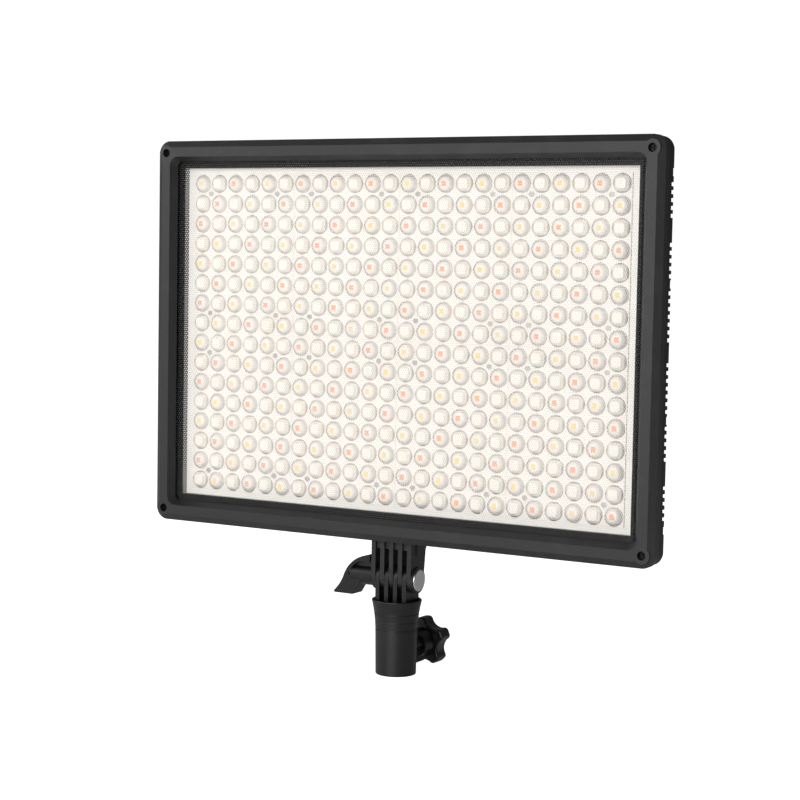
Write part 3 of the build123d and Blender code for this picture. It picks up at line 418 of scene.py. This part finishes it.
def lens_plate(node):
    """A bevelled plate with 6 by 8 lenses, in the place of one CAD lens plate."""
    low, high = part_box(node)
    centre = (low + high) / 2
    plate = bmesh.new()
    thickness = high.y - LENS_FACE_Y
    size = Matrix.Diagonal((high.x - low.x, thickness, high.z - low.z, 1))
    place = Matrix.Translation((centre.x, LENS_FACE_Y + thickness / 2, centre.z))
    bmesh.ops.create_cube(plate, size=1.0, matrix=place @ size)
    bmesh.ops.bevel(plate, geom=plate.edges[:], offset=PLATE_EDGE, segments=1, profile=0.5, affect="EDGES",
                    material=-1)
    for row in range(8):
        for column in range(6):
            spot = Vector((centre.x + (column - 2.5) * LENS_PITCH, LENS_FACE_Y,
                           centre.z + (3.5 - row) * LENS_PITCH))
            lens = mould_for(spot).copy()
            lens.transform(Matrix.Translation(spot) @ Matrix.Rotation(math.pi / 2, 4, "X"))
            plate.from_mesh(lens)
            bpy.data.meshes.remove(lens)
    mesh = bpy.data.meshes.new(node.replace("plate", "array"))
    plate.to_mesh(mesh)
    plate.free()
    for material in (plate_skin, cool_lens, warm_lens, frosted_lens):
        mesh.materials.append(material)
    piece = bpy.data.objects.new(mesh.name, mesh)
    bpy.context.scene.collection.objects.link(piece)
    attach(piece, "head")
    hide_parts(node)
    return piece


lens_arrays = [lens_plate(node) for node in PLATE_NODES]
for mould in (cool_mould, warm_mould, frosted_mould):
    bpy.data.meshes.remove(mould)
print(len(lens_arrays), "plates of", len(lens_arrays[0].data.polygons), "faces")

# %% [markdown]
# ## Finishes on the CAD nodes
# A CAD node whose shape is right keeps its mesh. Its finish is put in its first material
# slot. One table says which node is made of what.

# %% dress the CAD nodes
display_glass = moulded("display_polished_glass", "#07090b", 0.08, 2.0, 0.01, "#0b0e10")
DRESS = {
    bezel_abs: ["front_bezel"],
    cover_abs: ["rear_cover", "battery_plate_left", "battery_plate_right", "rocker_housing", "dc_socket"],
    mask_abs: ["guide_frame"],
    receiver_nylon: ["stand_receiver"],
    bracket_nylon: ["tilt_bracket"],
    lever_nylon: ["tilt_lever"],
    knob_nylon: ["clamp_knob", "brightness_dial", "colour_dial"],
    key_rubber: ["mode_button", "menu_button", "preset_button"],
    rocker_pc: ["power_rocker", "battery_latch_left", "battery_latch_right"],
    component_epoxy: ["driver_components", "dial_encoders", "tact_switches"],
    board_fr4: ["control_board", "driver_board"],
    zinc_steel: ["pivot_bolt", "pivot_washer", "clamp_stud", "dc_socket_pin"],
    screw_steel: ["lens_screws"],
    black_oxide: ["rear_screws", "bezel_screws"],
    turned_brass: ["lever_nut", "clamp_insert", "chassis_standoffs", "driver_spacers",
                   "battery_contacts_left", "battery_contacts_right"],
    rolled_aluminium: ["chassis_plate", "brightness_dial_shaft", "colour_dial_shaft"],
    front_acrylic: ["light_guide_plate"],
    white_mask: ["led_board", "edge_strip_top", "edge_strip_bottom"],
    cool_phosphor: ["cool_white_leds", "edge_leds"],
    warm_phosphor: ["warm_white_leds"],
    cream_phosphor: ["diffused_leds"],
    display_glass: ["display_panel", "display_window"],
}
for material, names in DRESS.items():
    for name in names:
        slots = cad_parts[name].data.materials
        slots.clear()
        slots.append(material)
print(sum(len(names) for names in DRESS.values()), "nodes dressed")

# %% [markdown]
# ## Floor, light and camera
# A product of this kind is shown on white. The floor glows white for the camera only, a
# large soft light stands in front and a smaller one at the left, and the right is left
# dark so that the sides of the black plastic read black.


# %% the stage
def soft_light(name, place, target, size, power):
    lamp = bpy.data.lights.new(name, "AREA")
    lamp.shape = "RECTANGLE"
    lamp.size, lamp.size_y = size
    lamp.energy = power
    holder = bpy.data.objects.new(name, lamp)
    bpy.context.scene.collection.objects.link(holder)
    aim = (Vector(target) - Vector(place)).to_track_quat("-Z", "Y")
    holder.matrix_world = Matrix.Translation(place) @ aim.to_matrix().to_4x4()


floor_mesh = bpy.data.meshes.new("floor")
floor_shape = bmesh.new()
bmesh.ops.create_grid(floor_shape, x_segments=2, y_segments=2, size=12.0)
floor_shape.to_mesh(floor_mesh)
floor_shape.free()
floor = bpy.data.objects.new("floor", floor_mesh)
floor_paint, tree, output = new_material("floor_matt_white_paint")
rays = add(tree, "ShaderNodeLightPath")
glow = add(tree, "ShaderNodeMapRange", {"To Min": 0.05, "To Max": 1.0},
           {"Value": rays.outputs["Is Camera Ray"]})
paint = add(tree, "ShaderNodeBsdfPrincipled",
            {"Base Color": linear("#f4f4f4"), "Roughness": 0.9, "Emission Color": linear("#ffffff")},
            {"Emission Strength": glow.outputs["Result"]})
tree.links.new(paint.outputs["BSDF"], output.inputs["Surface"])
floor_mesh.materials.append(floor_paint)
bpy.context.scene.collection.objects.link(floor)

world = bpy.data.worlds.new("studio")
bpy.context.scene.world = world
world.use_nodes = True
tree = world.node_tree
tree.nodes.clear()
rays = add(tree, "ShaderNodeLightPath")
strength = add(tree, "ShaderNodeMapRange", {"To Min": 0.12, "To Max": 1.05},
               {"Value": rays.outputs["Is Camera Ray"]})
sky = add(tree, "ShaderNodeBackground", {"Color": linear("#ffffff")},
          {"Strength": strength.outputs["Result"]})
add(tree, "ShaderNodeOutputWorld", None, {"Surface": sky.outputs[0]})

target = (0.0, 0.0, 0.2)
soft_light("front_softbox", (0.2, -2.7, 0.8), target, (1.6, 1.6), 55.0)
soft_light("left_softbox", (-1.8, -1.0, 0.9), target, (1.2, 1.2), 20.0)

# %% the camera
camera_data = bpy.data.cameras.new("camera")
camera_data.sensor_width = 36.0
camera_data.lens = 87.84
camera_data.clip_start = 0.05
camera = bpy.data.objects.new("camera", camera_data)
right = Vector((0.8628, 0.5053, 0.0177)).normalized()
forward = Vector((-0.5027, 0.8611, -0.0765)).normalized()
up = right.cross(forward)
turn = Matrix((right, up, -forward)).transposed().to_4x4()
camera.matrix_world = Matrix.Translation((0.63757, -1.09267, 0.27706)) @ turn
bpy.context.scene.collection.objects.link(camera)
bpy.context.scene.camera = camera
bpy.context.scene.view_settings.view_transform = "Standard"
print("camera at", [round(c, 3) for c in camera.matrix_world.translation])
